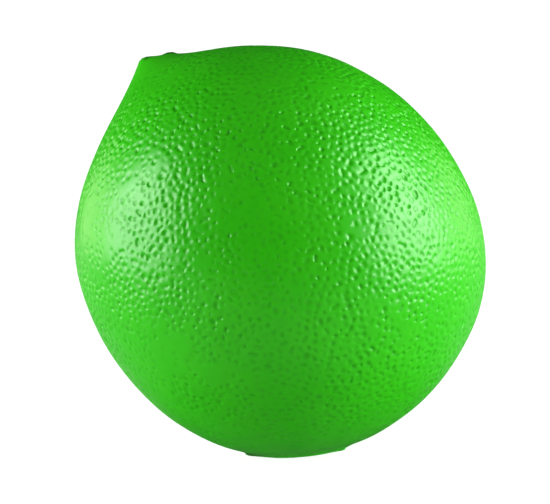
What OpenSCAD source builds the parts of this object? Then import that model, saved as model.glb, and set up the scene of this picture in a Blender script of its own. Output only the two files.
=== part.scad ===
// Stress ball in the shape of a lime: soft foam with a dense moulded skin and a satin paint coat.
// It stands on a flat foot. +Z is up, and the origin is the middle of the foot's face.
// The stem axis leans towards -X, so the stem point is at the upper left seen from the front.
// The ball gives way when it is pressed. Its layers are split at mid-height, so that the upper
// half can move down towards the foot as the foam is squeezed.

/* [Body] */
// Diameter of the body across its stem axis
body_d = 63; // [54:0.5:72]
// How far the two ends stand out beyond a round ball
end_bulge = 1.5; // [0:0.1:3]
// Lean of the stem axis from upright, in degrees
lean = 36; // [0:1:55]

/* [Stem point] */
// Height of the point above the round end
point_h = 7; // [3:0.1:8]
// Angle over which the point falls away, in degrees
point_spread = 12.5; // [8:0.5:14]
// Width across the blunt tip
tip_d = 1.9; // [1.4:0.1:3]
// Length of the dense stub behind the tip
stub_l = 5; // [3:0.5:7]

/* [Foot] */
// Diameter of the flat foot
foot_d = 17.6; // [12:0.2:22]
// How far the foot's rim stands clear of the body
foot_proud = 0.5; // [0.4:0.1:1.5]
// Thickness of the foot, from its face to its seat in the core
foot_t = 3; // [2.6:0.1:4]
// Bevel of the foot's rim
foot_bevel = 0.25; // [0.1:0.05:0.4]

/* [Layers] */
// Thickness of the paint coat
coat_t = 0.25; // [0.15:0.05:0.5]
// Thickness of the dense skin
skin_t = 1.3; // [0.8:0.1:2]

/* [Hidden] */
// Sides of the turned surfaces on screen
$fn = 120;
// Stretches along the outline, from the tip to the far end
outline_steps = 44;
// How strongly the stretches crowd towards the tip, where the outline bends most
outline_crowding = 1.5;
// How sharply the ends' bulge gives way to the round waist
waist_power = 5;
// Depth below the split or the foot that cutting blocks reach, clear of the body
clear = body_d;

// Half-angle of the blunt tip seen from the middle of the body
tip_a = asin(tip_d / 2 / (body_d / 2 + end_bulge + point_h));
// Reach of the blunt tip from the middle of the body
tip_z = body_r(tip_a) * cos(tip_a);
// Where the leaning body is lowest, beside the point straight below its middle
foot_shift = waist_power * end_bulge * pow(sin(lean), waist_power - 1) * cos(lean);
// Height of the middle of the body, with the foot's rim standing clear
mid_z = sqrt(pow(body_r(180 - lean), 2) - pow(foot_d / 2, 2)) + foot_proud;

// Distance from the middle of the body to its surface, at an angle from the stem axis
function body_r(a) =
    body_d / 2
    + end_bulge * (1 - pow(sin(a), waist_power))
    + point_h * exp(-a / point_spread);

// Angle of one point along the outline
function outline_a(i) =
    tip_a + (180 - tip_a) * pow(i / outline_steps, outline_crowding);

// Half outline of the body, pulled in by the thickness of the layers outside it
function outline(inset) = [
    for (i = [0 : outline_steps])
        let (a = outline_a(i))
        (body_r(a) - inset) * [sin(a), cos(a)]
];

// Puts what is drawn round the stem axis in its place above the foot
module leaning() {
    translate([-foot_shift, 0, mid_z])
    rotate([0, -lean, 0])
    children();
}

// The whole body inside the layers of a given thickness
module body(inset) {
    leaning()
    rotate_extrude()
    polygon(concat([[0, (body_r(tip_a) - inset) * cos(tip_a)]], outline(inset)));
}

// Space that the foot takes out of the body
module foot_seat() {
    translate([0, 0, foot_t - clear])
    cylinder(d = foot_d, h = clear);
}

// Space that the stub takes out of the stem point
module stub_seat() {
    leaning()
    translate([0, 0, tip_z - stub_l])
    cylinder(d = tip_d, h = clear);
}

// Everything below mid-height
module lower_half() {
    translate([-clear, -clear, mid_z - 2 * clear])
    cube(2 * clear);
}

// Everything above mid-height
module upper_half() {
    translate([-clear, -clear, mid_z])
    cube(2 * clear);
}

// One layer of the lower half, round the foot
module lower_layer(outer, inner) {
    difference() {
        intersection() {
            body(outer);
            lower_half();
        }
        body(inner);
        foot_seat();
    }
}

// One layer of the upper half, round the stub of the stem point
module upper_layer(outer, inner) {
    difference() {
        intersection() {
            body(outer);
            upper_half();
        }
        body(inner);
        stub_seat();
    }
}

// Dense disc with a flat face, trimmed where the foam was poured in
module foot_pad() {
    color([0.20, 0.62, 0.10])
    union() {
        cylinder(d1 = foot_d - 2 * foot_bevel, d2 = foot_d, h = foot_bevel);
        translate([0, 0, foot_bevel])
        cylinder(d = foot_d, h = foot_t - foot_bevel);
    }
}

// Soft cellular foam below mid-height
module core_lower() {
    color([0.85, 0.92, 0.66])
    difference() {
        intersection() {
            body(coat_t + skin_t);
            lower_half();
        }
        foot_seat();
    }
}

// Dense skin below mid-height
module skin_lower() {
    color([0.45, 0.80, 0.30])
    lower_layer(coat_t, coat_t + skin_t);
}

// Paint coat below mid-height
module coat_lower() {
    color([0.22, 0.74, 0.10])
    lower_layer(0, coat_t);
}

// Soft cellular foam above mid-height
module core_upper() {
    color([0.85, 0.92, 0.66])
    difference() {
        intersection() {
            body(coat_t + skin_t);
            upper_half();
        }
        stub_seat();
    }
}

// Dense skin above mid-height
module skin_upper() {
    color([0.45, 0.80, 0.30])
    upper_layer(coat_t, coat_t + skin_t);
}

// Paint coat above mid-height
module coat_upper() {
    color([0.22, 0.74, 0.10])
    upper_layer(0, coat_t);
}

// Dense stub in the stem point, trimmed flat where the mould was vented
module stem_tip() {
    color([0.16, 0.50, 0.08])
    leaning()
    translate([0, 0, tip_z - stub_l])
    cylinder(d = tip_d, h = stub_l);
}

foot_pad();
core_lower();
skin_lower();
coat_lower();
core_upper();
skin_upper();
coat_upper();
stem_tip();
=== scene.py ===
# %% [markdown]
# # A lime-shaped stress ball
#
# The object is a soft foam ball that is moulded and painted to look like a lime. A mould gives it a dense
# skin with thousands of small pores, a blunt point at the stem end and a flat foot that it stands on.
# The lesson builds it from the outside in: paint coat, moulded skin, foam core, foot and stem tip. Each
# piece stands where the CAD frame says, and the foot and the stem tip ride on the bodies that the squeeze
# moves.

# %% Load the frame
import math

import bpy
import numpy as np
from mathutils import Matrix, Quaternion, Vector, kdtree
from mathutils.geometry import delaunay_2d_cdt


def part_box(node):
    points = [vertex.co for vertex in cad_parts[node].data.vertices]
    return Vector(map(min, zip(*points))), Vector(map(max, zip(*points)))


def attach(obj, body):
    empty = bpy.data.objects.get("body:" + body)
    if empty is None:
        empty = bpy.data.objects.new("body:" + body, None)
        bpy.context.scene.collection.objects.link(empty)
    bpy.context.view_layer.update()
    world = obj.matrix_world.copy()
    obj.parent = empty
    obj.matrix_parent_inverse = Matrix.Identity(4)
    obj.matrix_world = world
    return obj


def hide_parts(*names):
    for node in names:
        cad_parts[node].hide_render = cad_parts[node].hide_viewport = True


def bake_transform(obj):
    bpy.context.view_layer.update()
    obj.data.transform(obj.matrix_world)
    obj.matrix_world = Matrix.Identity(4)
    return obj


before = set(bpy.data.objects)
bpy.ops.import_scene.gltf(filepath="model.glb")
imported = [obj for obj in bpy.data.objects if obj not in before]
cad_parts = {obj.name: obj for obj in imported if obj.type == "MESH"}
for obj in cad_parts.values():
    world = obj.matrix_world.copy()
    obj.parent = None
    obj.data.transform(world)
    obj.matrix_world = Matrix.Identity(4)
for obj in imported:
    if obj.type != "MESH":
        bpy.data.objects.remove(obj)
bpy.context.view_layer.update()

MM = 0.001
draws = np.random.default_rng(7)

# %% [markdown]
# ## The outline of the ball
#
# A lime is nearly a ball, a little longer than it is wide, with a point at one end. One formula gives the
# distance from its middle to its surface at any angle from the stem axis: a round part, a bulge of both
# ends, and a point that dies away like a cooling curve. A formula is better than a stack of scaled spheres
# here, because every layer of the ball can use it again at its own depth.
#
# The few driving sizes are those of the CAD model. The height of the middle and the size of the foot are
# read from the frame, so that the layers land exactly in the space that their CAD solids hold.

# %% Driving sizes, and what the frame says
BODY_D = 63.0 * MM
END_BULGE = 1.5 * MM
WAIST_POWER = 5
POINT_H = 7.0 * MM
POINT_SPREAD = math.radians(12.5)
LEAN = math.radians(36)
TIP_D = 1.9 * MM
TIP_R = TIP_D / 2
COAT_T = 0.25 * MM
SKIN_T = 1.3 * MM
SETTLE = 0.0104

foot_low, foot_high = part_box("foot_pad")
FOOT_R = (foot_high[0] - foot_low[0]) / 2
FOOT_T = foot_high[2] - foot_low[2]
mid_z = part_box("core_lower")[1][2]
foot_shift = WAIST_POWER * END_BULGE * math.sin(LEAN) ** (WAIST_POWER - 1) * math.cos(LEAN)
middle = np.array([-foot_shift, 0.0, mid_z])
stem_axis = np.array([-math.sin(LEAN), 0.0, math.cos(LEAN)])
y_way = np.array([0.0, 1.0, 0.0])
print("middle in mm", np.round(middle / MM, 2), "foot radius", round(FOOT_R / MM, 2))


# %% The surface in any direction
def unit(vectors):
    """The same vectors at length 1."""
    return vectors / np.linalg.norm(vectors, axis=-1, keepdims=True)


def stem_angle(directions):
    """The angle between each direction and the stem axis."""
    return np.arccos(np.clip(directions @ stem_axis, -1, 1))


def degrees_from(directions, centre):
    """The angle between each direction and one centre, in degrees."""
    return np.degrees(np.arccos(np.clip(directions @ centre, -1, 1)))


def body_r(angle):
    """Distance from the middle to the surface at an angle from the stem axis."""
    waist = np.clip(np.sin(angle), 0, 1) ** WAIST_POWER
    return BODY_D / 2 + END_BULGE * (1 - waist) + POINT_H * np.exp(-angle / POINT_SPREAD)


def settled(directions):
    """Soft foam settles: a little wider at the waist and a little lower on top, and unchanged at the foot."""
    up = directions[:, 2]
    return 1 + SETTLE * (1 - np.where(up > 0, 2, 1) * up**2)


SIDE_TURN = math.radians(30)
side_axis = np.array([math.cos(SIDE_TURN), math.sin(SIDE_TURN), 0.0])
SWELLINGS = (
    # degrees round the side view, spread in degrees, height
    (-4, 15, 0.24 * MM),
    (20, 9, -0.10 * MM),
    (40, 11, -0.20 * MM),
    (60, 12, -0.36 * MM),
    (103, 13, 0.22 * MM),
    (149, 13, -0.20 * MM),
    (180, 12, 0.20 * MM),
    (206, 9, 0.14 * MM),
    (232, 10, 0.22 * MM),
    (253, 7, 0.18 * MM),
    (291, 10, 0.42 * MM),
    (340, 12, 0.18 * MM),
)


def swellings(directions):
    """Broad, low swellings and hollows of a soft ball that never came out of its mould quite even."""
    total = np.zeros(len(directions))
    for turn, spread, height in SWELLINGS:
        turn = math.radians(turn)
        centre = side_axis * math.cos(turn) + np.array([0, 0, math.sin(turn)])
        total += height * np.exp(-((degrees_from(directions, centre) / spread) ** 2))
    return total


def surface(directions, inset, heights=0):
    """Points of a layer at a depth of inset, raised by heights, in the given directions from the middle."""
    reach = (body_r(stem_angle(directions)) - inset) * settled(directions) + swellings(directions) + heights
    return middle + directions * reach[:, None]


tip_angle = math.asin(TIP_R / (BODY_D / 2 + END_BULGE + POINT_H))
tip_reach = float(body_r(np.array([tip_angle]))[0] * math.cos(tip_angle))
tip_place = middle + stem_axis * tip_reach
tip_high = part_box("stem_tip")[1]
print("tip in mm", np.round(tip_place / MM, 2), "and in the frame", np.round(np.array(tip_high) / MM, 2))

# %% [markdown]
# ## Where the pores go
#
# The peel of a citrus fruit has pores in short, bent rows with faults between them, neither a perfect
# honeycomb nor pure chance. Points that push each other apart settle into just that pattern. So the pores
# start on a spiral of evenly spread points, each is nudged at random, and a few rounds of pushing let
# small patches of honeycomb grow. The mould has no pores round the point and round the foot, so they get
# shallower there until they are gone.

# %% Evenly spread directions, and pores that push each other apart
PITCH = 1.34 * MM
JITTER = 0.5 * PITCH
PUSH_ROUNDS = 6
PUSH_REACH = 1.12
PUSH_SHARE = 0.35
MEAN_R = BODY_D / 2 + END_BULGE / 2
HEX_CELL = math.sqrt(3) / 2


def spiral(pitch):
    """Directions on a spiral round the ball, about one pitch apart everywhere."""
    count = int(4 * math.pi * MEAN_R**2 / (HEX_CELL * pitch**2))
    turn = np.arange(count) * math.pi * (3 - math.sqrt(5))
    height = 1 - (2 * np.arange(count) + 1) / count
    ring = np.sqrt(1 - height**2)
    return np.stack([ring * np.cos(turn), ring * np.sin(turn), height], axis=1)


def tree_of(directions):
    """A search tree over directions."""
    tree = kdtree.KDTree(len(directions))
    for i, p in enumerate(directions.tolist()):
        tree.insert(p, i)
    tree.balance()
    return tree


def neighbours(tree, directions, count):
    """For each direction, the indices of the nearest ones in the tree, nearest first."""
    found = [[hit[1] for hit in tree.find_n(p, count)] for p in directions.tolist()]
    return np.array(found)


def pushed_apart(directions, rounds, pitch):
    """The directions after rounds of each pushing away from its nearest six."""
    for _ in range(rounds):
        near = neighbours(tree_of(directions), directions, 7)[:, 1:]
        away = directions[:, None] - directions[near]
        gap = np.linalg.norm(away, axis=2, keepdims=True)
        push = np.clip(PUSH_REACH * pitch - gap, 0, None) / gap * away
        directions = unit(directions + PUSH_SHARE * push.sum(axis=1))
    return directions


pore_at = spiral(PITCH)
pore_at = unit(pore_at + draws.normal(0, JITTER / MEAN_R, pore_at.shape))
pore_at = pushed_apart(pore_at, PUSH_ROUNDS, PITCH / MEAN_R)
print("pores before fading", len(pore_at))


# %% Smooth ramps, waves and patches
def ramp(value, low, high):
    """0 below low, 1 above high, and a smooth S between them."""
    t = np.clip((value - low) / (high - low), 0, 1)
    return t * t * (3 - 2 * t)


def waves(points, count, low, high):
    """A smooth unevenness, mostly from -1 to 1, of waves between two lengths in random directions."""
    total = np.zeros(len(points))
    for _ in range(count):
        way = unit(draws.normal(size=3))
        length = draws.uniform(low, high)
        total += np.sin(points @ way * 2 * math.pi / length + draws.uniform(0, 2 * math.pi))
    return total / math.sqrt(count)


# %% How strongly the pores show, and where
foot_way = unit(-middle)
NEAR_POINT = (7, 24)
NEAR_FOOT = (22, 32)
ROUND_FOOT = (32, 54)
NEAR_FOOT_SHARE = 0.45
PATCHY = 0.22
WORN_SPOTS = (
    # centre, fully worn within, untouched beyond, what is left
    ((-0.56, -0.80, 0.20), 9, 22, 0.40),
    ((-0.14, -0.76, -0.63), 14, 38, 0.50),
)


def presence(directions):
    """How strongly the pores show: none at point and foot, faint on worn spots, patchy elsewhere."""
    shown = ramp(degrees_from(directions, stem_axis), *NEAR_POINT)
    from_foot = degrees_from(directions, foot_way)
    first, then = ramp(from_foot, *NEAR_FOOT), ramp(from_foot, *ROUND_FOOT)
    shown *= NEAR_FOOT_SHARE * first + (1 - NEAR_FOOT_SHARE) * then
    for centre, near, far, left in WORN_SPOTS:
        away = degrees_from(directions, unit(np.array(centre)))
        shown *= left + (1 - left) * ramp(away, near, far)
    return shown * ((1 - PATCHY) + PATCHY * waves(directions * MEAN_R, 8, 9 * MM, 24 * MM))


PORE_R = 0.48 * MM
R_SPREAD = 0.16
R_LIMITS = (0.6, 1.35)
PORE_DEPTH = 0.172 * MM
DEPTH_SPREAD = 0.33
DEPTH_LIMITS = (0.25, 1.7)
THINNING = 0.62
FAINTEST = 0.35
strength = presence(pore_at)
left_over = strength > draws.uniform(0, THINNING, len(pore_at))
pore_at = pore_at[left_over]
strength = FAINTEST + (1 - FAINTEST) * strength[left_over]
pore_r = PORE_R * np.clip(draws.normal(1, R_SPREAD, len(pore_at)), *R_LIMITS)
pore_depth = PORE_DEPTH * strength * np.clip(draws.normal(1, DEPTH_SPREAD, len(pore_at)), *DEPTH_LIMITS)
print("pores", len(pore_at), "median width in mm", round(float(np.median(pore_r)) * 2 / MM, 2))

# %% [markdown]
# Not every pore is a round pit. Here and there the mould's texture runs two pores together into a short
# groove, and thick paint leaves a little blister in the middle of some. Each pore is therefore a short
# line with a width: its middle, the way it lies, half its length and its radius.

# %% Pores that run together, and blisters
RUN_TOGETHER = 0.07
RUN_PATCHY = 0.7
GROOVE_HALF = 0.33
GROOVE_R = 0.82
GROOVE_DEPTH = 0.9
BLISTERED = 0.10
BLISTER_H = 0.75
BLISTER_R = 0.36
PIT_REACH = 1.25
SHORT = 0.10 * MM
WOBBLE = 0.07 * MM


def side_ways(directions):
    """Two unit vectors across each direction, square to it and to each other."""
    helper = np.where(np.abs(directions[:, 2:3]) < 0.9, [[0.0, 0.0, 1.0]], [[1.0, 0.0, 0.0]])
    first = unit(np.cross(directions, helper))
    return first, np.cross(directions, first)


def pairs_to_join():
    """Pairs of near pores that run together, each pore in one pair at most."""
    nearest = neighbours(tree_of(pore_at), pore_at, 3)
    chance = draws.uniform(0, 1, len(pore_at))
    patches = waves(pore_at * MEAN_R, 6, 14 * MM, 30 * MM)
    chosen = chance < RUN_TOGETHER * (1 + RUN_PATCHY * patches)
    pick = draws.integers(1, 3, len(pore_at))
    used, pairs = set(), []
    for i in np.nonzero(chosen)[0].tolist():
        j = int(nearest[i, pick[i]])
        if i not in used and j not in used:
            used.update((i, j))
            pairs.append((i, j))
    return np.array(pairs)


def as_lines():
    """Every pore as a short line: middle, way, half length, radius and depth. Joined pairs come last."""
    pairs = pairs_to_join()
    alone = np.setdiff1d(np.arange(len(pore_at)), pairs.reshape(-1))
    one, two = pore_at[pairs[:, 0]], pore_at[pairs[:, 1]]
    first, second = side_ways(pore_at[alone])
    turn = draws.uniform(0, math.pi, len(alone))[:, None]
    way = np.concatenate([np.cos(turn) * first + np.sin(turn) * second, unit(two - one)])
    at = np.concatenate([pore_at[alone], unit(one + two)])
    groove_half = GROOVE_HALF * np.linalg.norm(two - one, axis=1) * MEAN_R
    half = np.concatenate([draws.uniform(0, SHORT, len(alone)), groove_half])
    r = np.concatenate([pore_r[alone], GROOVE_R * pore_r[pairs].mean(axis=1)])
    depth = np.concatenate([pore_depth[alone], GROOVE_DEPTH * pore_depth[pairs].max(axis=1)])
    return at, way, half, r, depth, len(alone)


pore_at, pore_way, pore_half, pore_r, pore_depth, alone = as_lines()
blister = np.where(draws.uniform(0, 1, len(pore_at)) < BLISTERED, BLISTER_H, 0.0)
pore_tree = tree_of(pore_at)
print("pores", alone, "and grooves", len(pore_at) - alone)


# %% The shape of a pore
def pit(share, blister):
    """Height of a pore of depth 1 at a share of its radius: a round pit, with or without a blister."""
    return ramp(share, 0.0, PIT_REACH) - 1 + blister * np.exp(-((share / BLISTER_R) ** 2))


wobble_ways = unit(draws.normal(size=(9, 3)))
wobble_lengths = draws.uniform(1.6 * MM, 3.6 * MM, 9)
wobble_starts = draws.uniform(0, 2 * math.pi, 9)


def wobble(directions):
    """A small sideways shift of each place, which leaves no pore quite round."""
    turns = (directions @ wobble_ways.T) * MEAN_R * 2 * math.pi / wobble_lengths + wobble_starts
    return WOBBLE * np.sin(turns).reshape(-1, 3, 3).sum(axis=1)


def shares_of(directions, count):
    """The nearest pores of each direction, and how many of their radii each is away from their lines."""
    near = neighbours(pore_tree, directions, count)
    off = (directions[:, None] - pore_at[near]) * body_r(stem_angle(directions))[:, None, None]
    off += wobble(directions)[:, None]
    along = (off * pore_way[near]).sum(axis=2)
    along = np.clip(along, -pore_half[near], pore_half[near])
    gap = np.linalg.norm(off - along[..., None] * pore_way[near], axis=2)
    return near, gap / pore_r[near]


def pore_heights(directions):
    """Height of the pored surface over the smooth one, and how deep in a pore each point is, from 0 to 1."""
    near, share = shares_of(directions, 4)
    height = (pore_depth[near] * pit(share, blister[near])).min(axis=1)
    return height, np.clip(-height / PORE_DEPTH, 0, 1)


# %% [markdown]
# ## The painted surface as real geometry
#
# A bump map can't cut the outline of a ball or throw a true glint from the far wall of a pit, so the pores
# are modelled. An even grid would need millions of points to draw such small pits. Instead each pore gets
# its own rings of points, with a loose fill between pores, and the points are joined by a Delaunay
# triangulation. That works on a plane, so the ball is opened at its foot and spread flat by a
# stereographic projection. The projection keeps circles round, so what is a good triangle on the plane is
# a good triangle on the ball.

# %% Points round every pore
# each ring's share of the pore's radius, and its number of points
SINGLE_RINGS = ((0.0, 1), (0.34, 6), (0.66, 9), (0.98, 10), (1.3, 8))
GROOVE_RINGS = ((0.0, 4), (0.34, 10), (0.66, 13), (0.98, 14), (1.3, 12))
END_SHARE = 0.7
FILL_CLEAR = 1.42
FINE_WITHIN = 18


def rings_of(which, table):
    """Directions of the rings of points round some pores."""
    at, way, half, r = pore_at[which], pore_way[which], pore_half[which], pore_r[which]
    across = np.cross(at, way)
    reach = body_r(stem_angle(at))
    rings = []
    for share, count in table:
        start = draws.uniform(0, 2 * math.pi, len(at))
        for k in range(count):
            turn = start + 2 * math.pi * k / count
            along = share * r * np.cos(turn) + half * np.clip(np.cos(turn) / END_SHARE, -1, 1)
            aside = share * r * np.sin(turn)
            rings.append(at + (along / reach)[:, None] * way + (aside / reach)[:, None] * across)
    return unit(np.concatenate(rings))


def clear_of_pores(points, clear):
    """The points that are more than a share of its radius from every pore."""
    return points[shares_of(points, 3)[1].min(axis=1) > clear]


def fill(pitch, low, high):
    """Spread directions between two angles from the stem axis, clear of the pores."""
    points = spiral(pitch)
    angle = np.degrees(stem_angle(points))
    return clear_of_pores(points[(angle >= low) & (angle < high)], FILL_CLEAR)


rings = np.concatenate(
    [rings_of(np.arange(alone), SINGLE_RINGS), rings_of(np.arange(alone, len(pore_at)), GROOVE_RINGS)]
)
loose = fill(0.50 * MM, FINE_WITHIN, 180.1)
fine = fill(0.24 * MM, 0, FINE_WITHIN)
print("ring points", len(rings), "fill points", len(loose) + len(fine))

# %% [markdown]
# Small flaws of the moulding finish the surface. Foam that was squeezed out at the mould's split leaves a
# little flash bump beside the point, on a low swelling. The point itself is bent a little to one side.
# Round the foot the paint has run into the corner, so that ball and foot meet in a soft fillet, and the
# foot's trimmed rim keeps two small nubs.
#
# Painted shade darkens the bump, one side of the blunt tip and the foot's rim by the nubs. It has no shape
# of its own, so every point of the mesh stores how dark it is there, and the paint reads that number later.

# %% Heights of the painted surface
WAVE_H = 0.03 * MM
BUMP_ANGLE = math.radians(7.0)
BUMP_TURN = math.radians(6)
BUMP_H = 0.36 * MM
BUMP_LONG = 1.20 * MM
BUMP_WIDE = 0.55 * MM
BUMP_STEEPER = 1.7
SEAM_H = 0.20 * MM
SEAM_SPREAD = math.radians(3.6)
LEAST_CLEAR = 0.12 * MM
NUBS = (
    # degrees round the rim, spread in degrees, how far out, painted shade
    (-120, 10, 0.80 * MM, 0.85),
    (-4, 9, 0.90 * MM, 0.15),
)
# how the painted shade spreads at the rim, and how dark it is on the bump and at the tip
RIM_SHADE_TURN = 6
RIM_SHADE_WIDER = 2.1
BUMP_SHADE = 0.9
TIP_SHADE = 0.6
TIP_BEND = np.array([-0.28, -0.27, -0.34]) * MM
FILLET = 0.30 * MM
FILLET_OUT = 0.75 * MM

over_way = np.cross(y_way, stem_axis)
bump_side = over_way * math.cos(BUMP_TURN) + y_way * math.sin(BUMP_TURN)
bump_way = unit(stem_axis * math.cos(BUMP_ANGLE) + bump_side * math.sin(BUMP_ANGLE))
bump_along = unit(bump_side * math.cos(BUMP_ANGLE) - stem_axis * math.sin(BUMP_ANGLE))
bump_across = np.cross(bump_way, bump_along)
tip_shade_way = unit(over_way)


def flash_bump(directions):
    """Height of the flash bump, steeper on the side away from the point."""
    reach = body_r(np.array([BUMP_ANGLE]))[0]
    along = directions @ bump_along * reach
    across = directions @ bump_across * reach
    along = np.where(along > 0, along * BUMP_STEEPER, along)
    near = directions @ bump_way > 0.9
    return near * BUMP_H * np.exp(-(np.abs(along / BUMP_LONG) ** 3) - (across / BUMP_WIDE) ** 2)


def seam_swelling(directions):
    """Height of the low swelling on which the flash bump sits."""
    away = np.radians(degrees_from(directions, bump_way))
    return SEAM_H * np.exp(-((away / SEAM_SPREAD) ** 2))


def nub_share(points, turn, spread):
    """1 at a place round the foot's rim, and less away from it."""
    away = np.degrees(np.arctan2(points[:, 1], points[:, 0])) - turn
    away = (away + 180) % 360 - 180
    return np.exp(-((away / spread) ** 2))


def rim_shade(points):
    """How dark the painted shade is round the foot's rim, spread wider than the nubs."""
    total = np.zeros(len(points))
    for turn, spread, _, dark in NUBS:
        total += dark * nub_share(points, turn + RIM_SHADE_TURN, RIM_SHADE_WIDER * spread)
    return total


def bend(directions):
    """How far the point's bend moves each place."""
    return TIP_BEND * np.exp(-((stem_angle(directions) / POINT_SPREAD) ** 1.5))[:, None]


def shade_of(directions, points, bump, out):
    """How dark the painted shade is at each place, from the height of the bump and the way out from the foot.
    """
    on_bump = BUMP_SHADE * ramp(bump / BUMP_H, 0.04, 0.35)
    tip_side = (directions - stem_axis) @ tip_shade_way
    near_tip = stem_angle(directions) < 2.2 * tip_angle
    on_tip = TIP_SHADE * near_tip * ramp(tip_side / tip_angle, 0.65, 1.1)
    near_rim = ramp(-out, -4.0 * MM, -0.3 * MM) * (points[:, 2] < mid_z)
    # painted shade on the bump, on one side of the tip and round the foot's rim
    return np.maximum(np.maximum(on_bump, on_tip), near_rim * rim_shade(points))


def painted(directions):
    """Points of the painted surface, how deep in a pore each is, and how dark its painted shade is."""
    height, depth_share = pore_heights(directions)
    bump = flash_bump(directions)
    height += WAVE_H * waves(directions * MEAN_R, 10, 6 * MM, 18 * MM) + bump
    height += seam_swelling(directions)
    smooth = surface(directions, 0)
    low = smooth[:, 2] < mid_z
    out = np.hypot(smooth[:, 0], smooth[:, 1]) - FOOT_R
    held_at_foot = np.where(low, ramp(np.abs(out), 0, 0.5 * MM), 1)
    held_at_tip = ramp(stem_angle(directions), tip_angle, 1.6 * tip_angle)
    points = surface(directions, 0, height * (held_at_foot * held_at_tip))
    fillet = FILLET * np.exp(-np.clip(out, 0, None) / FILLET_OUT) * low
    points += bend(directions) - fillet[:, None] * [0, 0, 1]
    points[:, 2] = np.maximum(points[:, 2], LEAST_CLEAR)
    return points, depth_share, shade_of(directions, points, bump, out)


# %% Rings where the surface stops at the foot and at the stem tip
RIM_COUNT = 220
TIP_COUNT = 28
RIM_CLEAR = 1.015
TIP_CLEAR = 1.12
# the two rings are the first points of every layer, in this order
rim = np.arange(RIM_COUNT)
nib = np.arange(RIM_COUNT, RIM_COUNT + TIP_COUNT)


def foot_ring(inset):
    """Directions of the ring where a layer meets the foot's wall."""
    turn = np.arange(RIM_COUNT) * 2 * math.pi / RIM_COUNT
    ring = np.stack([FOOT_R * np.cos(turn), FOOT_R * np.sin(turn), np.zeros(RIM_COUNT)], axis=1)
    for _ in range(12):
        ring[:, 2] = surface(unit(ring - middle), inset)[:, 2]
        off = surface(unit(ring - middle), inset)
        ring[:, 2] += (off[:, 2] - ring[:, 2]) * 0.5
    return unit(ring - middle)


def tip_ring(inset):
    """Directions of the ring where a layer meets the stub in the stem point."""
    turn = np.arange(TIP_COUNT) * 2 * math.pi / TIP_COUNT
    ways = np.cos(turn)[:, None] * y_way + np.sin(turn)[:, None] * np.cross(stem_axis, y_way)
    angle = np.full(TIP_COUNT, tip_angle)
    for _ in range(8):
        angle = np.arcsin(TIP_R / (body_r(angle) - inset))
    return unit(stem_axis * np.cos(angle)[:, None] + ways * np.sin(angle)[:, None])


# %% Joining directions into an open ball
def joined(directions):
    """Triangles over directions, by opening the ball at the foot and spreading it flat."""
    first, second = side_ways(foot_way[None])
    along = directions @ foot_way
    flat = np.stack([directions @ first[0], directions @ second[0]], axis=1) / (1 - along)[:, None]
    _, _, faces, origins, _, _ = delaunay_2d_cdt([Vector(p) for p in flat.tolist()], [], [], 0, 1e-9)
    back = np.array([o[0] for o in origins])
    tris = back[np.array(faces)]
    a, b, c = (directions[tris[:, i]] for i in range(3))
    inward = (np.cross(b - a, c - a) * (a + b + c)).sum(axis=1) < 0
    tris[inward] = tris[inward][:, ::-1]
    return tris


def open_ball(inner, inset):
    """Directions and triangles of a layer with a hole at the foot and one at the stem tip."""
    nib_ways = tip_ring(inset)
    at = surface(inner, inset)
    beside_foot = (np.hypot(at[:, 0], at[:, 1]) < FOOT_R * RIM_CLEAR) & (at[:, 2] < mid_z)
    beside_tip = stem_angle(inner) < TIP_CLEAR * stem_angle(nib_ways).max()
    directions = np.concatenate([foot_ring(inset), nib_ways, inner[~beside_foot & ~beside_tip]])
    tris = joined(directions)
    over_rim = np.isin(tris, rim).all(axis=1)
    over_nib = np.isin(tris, nib).all(axis=1)
    return directions, tris[~over_rim & ~over_nib]


# %% Making a mesh from points and triangles
def mark(piece, key, values):
    """Stores one number per point, which a material can read by its name."""
    data = piece.data.attributes.new(key, "FLOAT", "POINT").data
    data.foreach_set("value", values.astype(np.float32))


def mesh_piece(name, points, faces, attributes=None):
    """A smooth-shaded mesh object from points and a list of face arrays, with float attributes."""
    mesh = bpy.data.meshes.new(name)
    sizes = np.concatenate([np.full(len(f), f.shape[1]) for f in faces])
    corners = np.concatenate([f.reshape(-1) for f in faces])
    mesh.vertices.add(len(points))
    mesh.vertices.foreach_set("co", points.astype(np.float32).reshape(-1))
    mesh.loops.add(len(corners))
    mesh.loops.foreach_set("vertex_index", corners.astype(np.int32))
    mesh.polygons.add(len(sizes))
    starts = np.concatenate([[0], np.cumsum(sizes)[:-1]])
    mesh.polygons.foreach_set("loop_start", starts.astype(np.int32))
    mesh.update(calc_edges=True)
    mesh.validate()
    mesh.shade_smooth()
    piece = bpy.data.objects.new(name, mesh)
    bpy.context.scene.collection.objects.link(piece)
    for key, values in (attributes or {}).items():
        mark(piece, key, values)
    print(name, "points", len(points), "faces", len(sizes))
    return piece


def wall(outer, inner):
    """Four-sided faces between two rings of the same number of points."""
    ahead = np.roll(np.arange(len(outer)), -1)
    return np.stack([outer, inner, inner[ahead], outer[ahead]], axis=1)


def closed_shell(name, outer, outer_points, inner, inner_points, attributes=None):
    """A shell from two open balls, closed by walls at the foot and at the stem tip."""
    shift = len(outer_points)
    faces = [outer, inner[:, ::-1] + shift, wall(rim + shift, rim), wall(nib, nib + shift)]
    return mesh_piece(name, np.concatenate([outer_points, inner_points]), faces, attributes)


# %% [markdown]
# ## Paint coat
#
# The paint is a thin, stretchy film over everything. It is what the eye sees, so it carries the pores. Its
# inner face is smooth, because nobody sees it and a smooth one keeps the file light.

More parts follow.
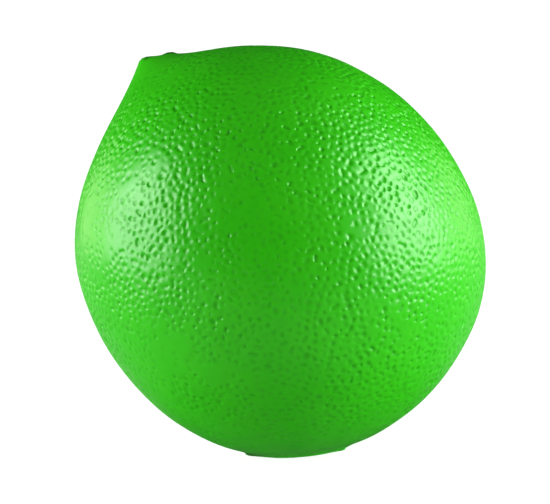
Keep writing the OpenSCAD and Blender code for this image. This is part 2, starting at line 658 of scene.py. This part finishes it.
# %% Build the paint coat
BUMP_CLEAR = 1.1 * MM
near_bump = spiral(0.11 * MM)
near_bump = near_bump[near_bump @ bump_way > math.cos(BUMP_CLEAR / MEAN_R)]
coat_ways, coat_tris = open_ball(np.concatenate([rings, loose, fine, near_bump]), 0)
coat_points, pore_share, shade_share = painted(coat_ways)
plain = spiral(0.95 * MM)
inner_ways, inner_tris = open_ball(plain, COAT_T)
inner_points = surface(inner_ways, COAT_T) + bend(inner_ways)
inside = np.zeros(len(inner_points))
# painted shade of the bump, the tip's side and the foot's rim, stored per point for the paint
marks = {"pore": np.concatenate([pore_share, inside]), "painted_shade": np.concatenate([shade_share, inside])}
paint_coat = closed_shell("paint_coat", coat_tris, coat_points, inner_tris, inner_points, marks)

# %% [markdown]
# ## Moulded skin
#
# Polyurethane foam that touches a cool mould collapses into a tough skin. It lies under the paint and is
# just over a millimetre thick, a plain shell between two copies of the same outline.

# %% Build the skin
skin_ways, skin_tris = open_ball(plain, COAT_T)
under_ways, under_tris = open_ball(plain, COAT_T + SKIN_T)
moulded_skin = closed_shell(
    "moulded_skin",
    skin_tris,
    surface(skin_ways, COAT_T) + bend(skin_ways),
    under_tris,
    surface(under_ways, COAT_T + SKIN_T) + bend(under_ways),
)

# %% [markdown]
# ## Foam core
#
# The core is what makes the ball squeezable: soft foam with open cells. It fills the skin, with a flat
# seat where the foot goes in and a narrow socket round the stub of the stem tip. Its surface is pitted by
# the cells, which are pushed inwards only, so that it never breaks through the skin.

# %% Build the core
CELL_DEPTH = 0.10 * MM
STUB_L = 5.0 * MM
nib_place = tip_place + bend(stem_axis[None])[0]


def foam_core_piece():
    """The core as one closed solid with a seat for the foot and a socket for the stub."""
    inset = COAT_T + SKIN_T
    ways, tris = open_ball(spiral(0.62 * MM), inset)
    cells = -CELL_DEPTH * draws.uniform(0, 1, len(ways))
    cells[: RIM_COUNT + TIP_COUNT] = 0
    points = surface(ways, inset, cells) + bend(ways)
    seat = points[rim] * [1, 1, 0] + [0, 0, FOOT_T]
    socket = points[nib] - stem_axis * ((points[nib] - nib_place) @ stem_axis + STUB_L)[:, None]
    seat_ids = len(points) + rim
    socket_ids = len(points) + nib
    seat_middle = len(points) + RIM_COUNT + TIP_COUNT
    socket_middle = seat_middle + 1
    ends = np.stack([[0, 0, FOOT_T], nib_place - stem_axis * STUB_L])
    seat_cap = np.stack([seat_ids, np.full(RIM_COUNT, seat_middle), np.roll(seat_ids, -1)], axis=1)
    socket_cap = np.stack([np.roll(socket_ids, -1), np.full(TIP_COUNT, socket_middle), socket_ids], axis=1)
    faces = [tris, wall(seat_ids, rim), wall(nib, socket_ids), seat_cap, socket_cap]
    return mesh_piece("foam_core", np.concatenate([points, seat, socket, ends]), faces)


foam_core = foam_core_piece()

# %% [markdown]
# ## Foot and stem tip
#
# Where the liquid foam was poured in, the mould leaves a plug. It is trimmed flat and becomes the foot. A
# small vent at the other end leaves a stub, which is nipped off blunt. Both are turned shapes: a half
# outline swept round an axis. A real trim is never quite round or flat, so the points are then moved a
# little, most at the rim.

# %% Turned shapes
def turned(name, outline, sides, uneven, attributes=None):
    """A closed solid from a half outline of (radius, height) points that starts and ends on the axis."""
    outline = np.array(outline)
    turn = np.arange(sides) * 2 * math.pi / sides
    body = outline[1:-1]
    points = np.stack(
        [
            np.outer(body[:, 0], np.cos(turn)).reshape(-1),
            np.outer(body[:, 0], np.sin(turn)).reshape(-1),
            np.repeat(body[:, 1], sides),
        ],
        axis=1,
    )
    points = np.concatenate([points, [[0, 0, outline[0, 1]], [0, 0, outline[-1, 1]]]])
    ids = np.arange(len(body) * sides).reshape(len(body), sides)
    ahead = np.roll(np.arange(sides), -1)
    bands = [wall(ids[i + 1], ids[i]) for i in range(len(body) - 1)]
    low, high = len(points) - 2, len(points) - 1
    low_cap = np.stack([ids[0][ahead], ids[0], np.full(sides, low)], axis=1)
    high_cap = np.stack([ids[-1], ids[-1][ahead], np.full(sides, high)], axis=1)
    return mesh_piece(name, uneven(points), [*bands, low_cap, high_cap], attributes)


def arc(cx, cz, radius, start, end, steps):
    """Points of a round stretch of an outline, between two angles in degrees."""
    angle = np.radians(np.linspace(start, end, steps))
    return [(cx + radius * math.cos(a), cz + radius * math.sin(a)) for a in angle]


# %% Build the foot
LIP = 0.30 * MM
DRAFT = 0.30 * MM
DRAFT_H = 0.9 * MM
DISH = 0.10 * MM
TRIM_H = 0.6 * MM
TRIM_WAVE = 0.004
TORN_H = 0.03 * MM


def foot_outline():
    """Half outline of the foot: a shallow dish, a rounded rim and a straight wall up to its seat."""
    face = [(r * FOOT_R, DISH * (1 - r**6)) for r in np.linspace(0, 0.93, 26)]
    edge = arc(FOOT_R - DRAFT - LIP, LIP, LIP, -90, 0, 8)
    heights = np.linspace(LIP * 1.3, FOOT_T, 14)
    side = [(FOOT_R - DRAFT * (1 - ramp(z, LIP, DRAFT_H)), z) for z in heights]
    seat = [(r * FOOT_R, FOOT_T) for r in np.linspace(0.85, 0, 6)]
    return face + edge + side + seat


def trimmed_foot(points):
    """Small flaws of the trimming: a wavy rim with two nubs, and a face with tiny torn cells."""
    out = np.hypot(points[:, 0], points[:, 1]) / FOOT_R
    low = points[:, 2] < TRIM_H
    wavy = waves(points, 8, 3 * MM, 9 * MM)
    torn = draws.uniform(0, 1, len(points))
    size = 1 - TRIM_WAVE * (1 + wavy) * low * ramp(out, 0.9, 1)
    for turn, spread, far, _ in NUBS:
        size += far / FOOT_R * nub_share(points, turn, spread) * low * ramp(out, 0.9, 0.97)
    points = points * np.stack([size, size, np.ones(len(points))], axis=1)
    points[:, 2] += np.where(low & (out < 0.95), TORN_H * (torn + 0.5 * (1 + wavy)), 0)
    points[:, 2] = np.clip(points[:, 2], 0, FOOT_T)
    return points


foot_pad = turned("foot_trim", foot_outline(), 200, trimmed_foot)
foot_points = np.array([v.co for v in foot_pad.data.vertices])
rim_share = ramp(np.hypot(foot_points[:, 0], foot_points[:, 1]) / FOOT_R, 0.9, 1)
# painted shade round the foot's rim by the nubs
mark(foot_pad, "painted_shade", rim_shade(foot_points) * rim_share)

# %% Build the stem tip
TIP_EDGE = 0.12 * MM
DIMPLE = 0.05 * MM
DIMPLE_SHARE = 0.8
ASKEW = 0.05 * MM
NIPPED = 0.04 * MM


def tip_outline():
    """Half outline of the stub, with a blunt, slightly hollow end."""
    side = [(TIP_R, z) for z in np.linspace(0, STUB_L - 0.14 * MM, 16)]
    edge = arc(TIP_R - TIP_EDGE, STUB_L - TIP_EDGE, TIP_EDGE, 0, 90, 6)
    shares = np.linspace(DIMPLE_SHARE, 0, 8)
    end = [(r * TIP_R, STUB_L - DIMPLE * (1 - (r / DIMPLE_SHARE) ** 2)) for r in shares]
    return [(0, 0), *side, *edge, *end]


def nipped_tip(points):
    """Puts the stub on the stem axis, with an end that was nipped off a little askew."""
    top = ramp(points[:, 2], STUB_L - 0.5 * MM, STUB_L)
    rough = waves(points, 6, 0.5 * MM, 1.4 * MM)
    height = points[:, 2] + top * (ASKEW * rough - ASKEW * points[:, 0] / TIP_R - NIPPED)
    aside = np.outer(points[:, 0], y_way) + np.outer(points[:, 1], np.cross(stem_axis, y_way))
    base = nib_place - stem_axis * STUB_L
    return base + aside + np.outer(height, stem_axis)


stem_tip = turned("stem_stub", tip_outline(), 48, nipped_tip)

# %% [markdown]
# ## Shader maths as Python expressions
#
# A material is a web of small nodes. Writing it as a formula is easier to read, so one class wraps a
# node's output and lets Python's operators add the Math nodes.

# %% A wire of the shader and a finish made of wires
class Wire:
    """One output of a shader node, which can be used in a formula."""

    def __init__(self, finish, socket):
        self.finish = finish
        self.socket = socket

    def maths(self, operation, first, second):
        return self.finish.node("ShaderNodeMath", {"operation": operation}, {0: first, 1: second})

    def __add__(self, other):
        return self.maths("ADD", self, other)

    __radd__ = __add__

    def __sub__(self, other):
        return self.maths("SUBTRACT", self, other)

    def __rsub__(self, other):
        return self.maths("SUBTRACT", other, self)

    def __mul__(self, other):
        return self.maths("MULTIPLY", self, other)

    __rmul__ = __mul__


class Finish:
    """A material under construction."""

    def __init__(self, name):
        self.material = bpy.data.materials.new(name)
        self.material.use_nodes = True
        self.tree = self.material.node_tree
        self.tree.nodes.clear()
        coordinates = self.node("ShaderNodeTexCoord", output="Object")
        self.place = self.node(
            "ShaderNodeVectorMath", {"operation": "SCALE"}, {0: coordinates, "Scale": 1 / MM}
        )

    def node(self, kind, settings=None, sockets=None, output=0):
        """Adds a node: its settings first, then values or wires into its sockets. Gives one output."""
        node = self.tree.nodes.new(kind)
        for key, value in (settings or {}).items():
            setattr(node, key, value)
        for key, value in (sockets or {}).items():
            if isinstance(value, Wire):
                self.tree.links.new(value.socket, node.inputs[key])
            else:
                node.inputs[key].default_value = value
        return Wire(self, node.outputs[output]) if len(node.outputs) else None

    def stored(self, key):
        """A number that the points of the mesh carry."""
        return self.node("ShaderNodeAttribute", {"attribute_name": key}, output="Fac")

    def from_origin(self):
        """The distance from the frame's origin in millimetres."""
        return self.node("ShaderNodeVectorMath", {"operation": "LENGTH"}, {0: self.place}, output="Value")

    def noise(self, size, detail=2.0, roughness=0.5, distortion=0.0):
        """Soft random values from 0 to 1, with patches about size millimetres across."""
        return self.node(
            "ShaderNodeTexNoise",
            {"normalize": True},
            {
                "Vector": self.place,
                "Scale": 1 / size,
                "Detail": detail,
                "Roughness": roughness,
                "Distortion": distortion,
            },
            output="Fac",
        )

    def step(self, value, low, high):
        """0 where value is under low, 1 where it is over high, smooth between."""
        return self.node(
            "ShaderNodeMapRange",
            {"interpolation_type": "SMOOTHSTEP"},
            {"Value": value, "From Min": low, "From Max": high},
        )

    def mix(self, factor, first, second):
        """A colour between two colours."""
        return self.node(
            "ShaderNodeMix", {"data_type": "RGBA"}, {0: factor, 6: first, 7: second}, output=2
        )

    def bump(self, height, strength, distance):
        """A bent surface normal from a height."""
        sockets = {"Height": height, "Strength": strength, "Distance": distance}
        return self.node("ShaderNodeBump", sockets=sockets)

    def surface(self, **sockets):
        """Ends the material in the main shader. An underscore in a name stands for a space."""
        named = {key.replace("_", " "): value for key, value in sockets.items()}
        shader = self.node("ShaderNodeBsdfPrincipled", sockets=named)
        self.node("ShaderNodeOutputMaterial", sockets={"Surface": shader})
        return self.material


# %% [markdown]
# ## Lime paint
#
# Sprayed satin paint is never one flat green. It is a touch yellower in cloudy patches a few millimetres
# across. Deep in the pores it is darker, a painted shade, and darker still where painted shade is stored.
# Its gloss varies too: handled crests are polished, pore bottoms are dull. A very fine bump gives the
# spray's orange peel.

# %% The paint
LIME = (0.036, 0.700, 0.001, 1)
LIME_THIN = (0.052, 0.760, 0.003, 1)
LIME_DEEP = (0.020, 0.480, 0.001, 1)
# the green of the painted shade
LIME_SHADE = (0.006, 0.150, 0.001, 1)
SCUFF = (0.150, 0.760, 0.080, 1)
SATIN = 0.295
PAINT_IOR = 1.46


def scratches(finish, tilt, seed):
    """A few hair-fine scuffs: thin lines of stretched noise, broken up by a second noise."""
    turned_place = finish.node(
        "ShaderNodeMapping", {"vector_type": "POINT"},
        {"Vector": finish.place, "Rotation": (tilt, 0.6 * tilt, seed), "Scale": (1.0, 0.03, 1.0)},
    )
    lines = finish.node(
        "ShaderNodeTexNoise", {"normalize": True},
        {"Vector": turned_place, "Scale": 1.3, "Detail": 1.0}, output="Fac",
    )
    thin = finish.step(lines, 0.494, 0.5) * (1 - finish.step(lines, 0.5, 0.506))
    patch = finish.step(finish.noise(7.0, 1.0, distortion=seed), 0.63, 0.70)
    return thin * patch


def paint():
    """Satin lime paint over pores."""
    finish = Finish("lime_paint")
    pore = finish.stored("pore")
    painted_shade = finish.stored("painted_shade")
    cloud = finish.noise(9.0, 3.0)
    mist = finish.noise(0.45, 2.0)
    colour = finish.mix(finish.step(cloud, 0.35, 0.7) * 0.5, LIME, LIME_THIN)
    colour = finish.mix(mist * 0.16, colour, LIME_THIN)
    # painted shade: darker deep in the pores
    colour = finish.mix(pore * 0.4, colour, LIME_DEEP)
    # painted shade on the bump, on one side of the tip and round the foot's rim
    colour = finish.mix(painted_shade, colour, LIME_SHADE)
    scuffs = scratches(finish, 0.4, 1.1)
    colour = finish.mix(scuffs * 0.5, colour, SCUFF)
    rough = SATIN + 0.08 * (cloud - 0.5) + 0.05 * (mist - 0.5) + 0.04 * pore + 0.08 * scuffs
    peel = finish.noise(0.28, 3.0, 0.6)
    return finish.surface(
        Base_Color=colour,
        Roughness=rough,
        Normal=finish.bump(peel, 0.22, 0.03 * MM),
        IOR=PAINT_IOR,
    )


# %% Trimmed foot and stub, skin and foam
SKIN_DEEP = (0.20, 0.50, 0.09, 1)
SKIN_PALE = (0.30, 0.62, 0.16, 1)
CELL_DARK = (0.36, 0.50, 0.17, 1)
CELL_WALL = (0.66, 0.78, 0.40, 1)


def trim(name, colour, pale):
    """Painted foam that was cut: duller, with torn cells that show paler, and darker where painted shade is
    stored.
    """
    finish = Finish(name)
    painted_shade = finish.stored("painted_shade")
    cells = finish.node(
        "ShaderNodeTexVoronoi", {"feature": "F1"}, {"Vector": finish.place, "Scale": 4.5},
    )
    worn = finish.step(finish.noise(1.6, 3.0), 0.52, 0.7)
    shade = finish.mix(worn * 0.35, colour, pale)
    shade = finish.mix(finish.step(cells, 0.0, 0.35) * 0.25, LIME_DEEP, shade)
    # painted shade where the mesh stores it, by the nubs on the foot's rim
    shade = finish.mix(painted_shade, shade, LIME_SHADE)
    return finish.surface(
        Base_Color=shade,
        Roughness=0.44 + 0.2 * worn,
        Normal=finish.bump(cells, 0.35, 0.06 * MM),
        IOR=PAINT_IOR,
    )


def skin_finish():
    """Dense tinted skin, satin, with a faint flow pattern from the mould."""
    finish = Finish("moulded_skin")
    flow = finish.noise(4.0, 3.0, distortion=1.5)
    colour = finish.mix(flow, SKIN_DEEP, SKIN_PALE)
    return finish.surface(
        Base_Color=colour,
        Roughness=0.5 + 0.15 * flow,
        Normal=finish.bump(finish.noise(0.4, 2.0), 0.2, 0.05 * MM),
    )


def foam_finish():
    """Open-cell foam: pale walls round darker cells."""
    finish = Finish("core_foam")
    cells = finish.node(
        "ShaderNodeTexVoronoi", {"feature": "DISTANCE_TO_EDGE"}, {"Vector": finish.place, "Scale": 1.9},
    )
    wall_share = 1 - finish.step(cells, 0.02, 0.16)
    colour = finish.mix(wall_share, CELL_DARK, CELL_WALL)
    return finish.surface(
        Base_Color=colour,
        Roughness=0.85 - 0.1 * wall_share,
        Normal=finish.bump(cells, 0.6, 0.3 * MM),
    )


paint_coat.data.materials.append(paint())
moulded_skin.data.materials.append(skin_finish())
foam_core.data.materials.append(foam_finish())
foot_pad.data.materials.append(trim("foot_paint", LIME, LIME_THIN))
stem_tip.data.materials.append(trim("stub_paint", LIME_DEEP, LIME))

# %% [markdown]
# ## Joining the pieces to the moving frame
#
# The frame has one joint, the squeeze: the upper half moves down towards the foot. The layers are
# continuous on the real ball, so each is built whole, baked in place and takes over from its two CAD
# halves. The foot stays with the lower body and the stem tip goes with the upper one.

# %% Ride and replace
for piece, nodes in (
    (paint_coat, ("coat_lower", "coat_upper")),
    (moulded_skin, ("skin_lower", "skin_upper")),
    (foam_core, ("core_lower", "core_upper")),
):
    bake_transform(piece)
    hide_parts(*nodes)
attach(foot_pad, "base")
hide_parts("foot_pad")
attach(stem_tip, "crown")
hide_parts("stem_tip")

# %% [markdown]
# ## Studio
#
# The ball stands on a pale floor between two large soft lights, one on each side and slightly raised. They
# leave the middle of the ball in gentle shade, and draw a broad sheen down each flank in which the pores
# show. Two small lights above them add sheen and no other light, and two dim, warm lights stand behind the
# ball on either side. The camera looks from a little above, with a long lens.
#
# Paper as bright as this would also flood the ball with white light and fill every mirrored ray. So the
# floor is seen by the camera only, and two cards under it stand in for it: one throws light up, and one is
# what the paint mirrors. The surroundings, too, differ for camera rays, mirrored rays and all others.

# %% Camera
CAMERA_TURN = math.radians(30)
CAMERA_RISE = math.radians(8)
CAMERA_ROLL = math.radians(3.6)
CAMERA_AWAY = 0.450
LENS = 182.9
AIM_ASIDE = 0.80 * MM
AIM_BELOW = 0.09 * MM

back = np.array(
    [
        math.sin(CAMERA_TURN) * math.cos(CAMERA_RISE),
        -math.cos(CAMERA_TURN) * math.cos(CAMERA_RISE),
        math.sin(CAMERA_RISE),
    ]
)
right = np.array([math.cos(CAMERA_TURN), math.sin(CAMERA_TURN), 0.0])
up = np.cross(back, right)
camera = bpy.data.objects.new("camera", bpy.data.cameras.new("camera"))
bpy.context.scene.collection.objects.link(camera)
camera.data.lens = LENS
camera.data.clip_start = 0.01
camera.location = Vector(middle + back * CAMERA_AWAY - right * AIM_ASIDE - up * AIM_BELOW)
level = Vector(-back).to_track_quat("-Z", "Y")
camera.rotation_mode = "QUATERNION"
camera.rotation_quaternion = Quaternion(Vector(-back), CAMERA_ROLL) @ level
bpy.context.scene.camera = camera


# %% Lights
LIGHT_AWAY = 0.55
WARM = (1.0, 0.95, 0.72)


def soft_light(name, turn, rise, size, height, power, colour=(1, 1, 1)):
    """A large soft light, placed by degrees of turn from the camera to its right and of rise."""
    data = bpy.data.lights.new(name, "AREA")
    data.shape = "RECTANGLE"
    data.size = size
    data.size_y = height
    data.energy = power
    data.color = colour
    lamp = bpy.data.objects.new(name, data)
    bpy.context.scene.collection.objects.link(lamp)
    turn, rise = math.radians(turn), math.radians(rise)
    level_way = right * math.sin(turn) + back * math.cos(turn)
    way = level_way * math.cos(rise) + up * math.sin(rise)
    lamp.location = Vector(middle + way * LIGHT_AWAY)
    lamp.rotation_mode = "QUATERNION"
    lamp.rotation_quaternion = Vector(-way).to_track_quat("-Z", "Y")
    lamp.visible_camera = False
    return lamp


soft_light("left_softbox", -85, 7, 0.45, 0.38, 3.25)
left_core = soft_light("left_core", -82, 30, 0.20, 0.20, 0.85)
soft_light("right_softbox", 76, 3, 0.50, 0.38, 4.35)
right_core = soft_light("right_core", 79, 31, 0.27, 0.24, 1.95)
soft_light("left_kicker", -125, 2, 0.36, 0.44, 0.95, WARM)
soft_light("right_kicker", 122, 2, 0.36, 0.44, 0.95, WARM)
left_core.visible_diffuse = False
right_core.visible_diffuse = False

# %% Floor, and the two cards under it
FLOOR_OUT = 4.0
BOUNCE_LOW = -8.0 * MM
SHEEN_LOW = -7.9 * MM


def level_sheet(name, height):
    """A large square sheet at a height, which belongs to the studio."""
    corners = ((-1, -1), (1, -1), (1, 1), (-1, 1))
    mesh = bpy.data.meshes.new(name)
    mesh.from_pydata([(x * FLOOR_OUT, y * FLOOR_OUT, height) for x, y in corners], [], [(0, 1, 2, 3)])
    sheet = bpy.data.objects.new(name, mesh)
    bpy.context.scene.collection.objects.link(sheet)
    return sheet


floor = level_sheet("floor", 0)
floor.visible_diffuse = False
floor.visible_glossy = False
floor.visible_shadow = False
bounce = level_sheet("bounce", BOUNCE_LOW)
bounce.visible_camera = False
bounce.visible_glossy = False
sheen = level_sheet("sheen", SHEEN_LOW)
sheen.visible_camera = False
sheen.visible_diffuse = False
sheen.visible_shadow = False


def white_paper():
    """Pale paper that glows, fully white far from the ball, so that it has no horizon."""
    finish = Finish("white_paper")
    grain = finish.noise(2.5, 3.0)
    glow = finish.mix(finish.step(finish.from_origin(), 60, 700), (0.87, 0.87, 0.87, 1), (1, 1, 1, 1))
    return finish.surface(
        Base_Color=finish.mix(grain, (0.48, 0.48, 0.475, 1), (0.52, 0.52, 0.515, 1)),
        Roughness=0.8,
        Specular_IOR_Level=0.0,
        Emission_Color=glow,
        Emission_Strength=1.0,
    )


def grey_card(name, near, far, start, end):
    """The paper as the ball sees it: plain and matt, with one tone near the ball and one far from it."""
    finish = Finish(name)
    share = finish.step(finish.from_origin(), start, end)
    tone = finish.mix(share, (near, near, near, 1), (far, far, far, 1))
    tone = finish.mix(finish.noise(3.0, 2.0) * 0.1, tone, (0.4, 0.4, 0.4, 1))
    return finish.surface(Base_Color=tone, Roughness=1.0, Specular_IOR_Level=0.0)


floor.data.materials.append(white_paper())
# painted light: the bounce card is paler near the ball, so more light comes up under it
bounce.data.materials.append(grey_card("bounce_card", 0.66, 0.46, 50, 170))
# painted shadow: the sheen card is dark near the ball, as the ball's shadow on the floor would look mirrored
# in the paint
sheen.data.materials.append(grey_card("sheen_card", 0.12, 0.60, 28, 66))

# %% Surroundings
world = bpy.data.worlds.new("studio")
bpy.context.scene.world = world
world.use_nodes = True
nodes = world.node_tree.nodes
links = world.node_tree.links
nodes.clear()
ray = nodes.new("ShaderNodeLightPath")
out = nodes.new("ShaderNodeOutputWorld")


def backdrop(strength):
    """Even white surroundings of one strength."""
    background = nodes.new("ShaderNodeBackground")
    background.inputs["Color"].default_value = (1, 1, 1, 1)
    background.inputs["Strength"].default_value = strength
    return background.outputs[0]


def by_ray(kind, otherwise, then):
    """One of two surroundings, by the kind of ray that meets them."""
    either = nodes.new("ShaderNodeMixShader")
    links.new(ray.outputs[kind], either.inputs[0])
    links.new(otherwise, either.inputs[1])
    links.new(then, either.inputs[2])
    return either.outputs[0]


fill_light = by_ray("Is Glossy Ray", backdrop(0.19), backdrop(0.02))
links.new(by_ray("Is Camera Ray", fill_light, backdrop(1.0)), out.inputs["Surface"])
bpy.context.scene.view_settings.view_transform = "Standard"
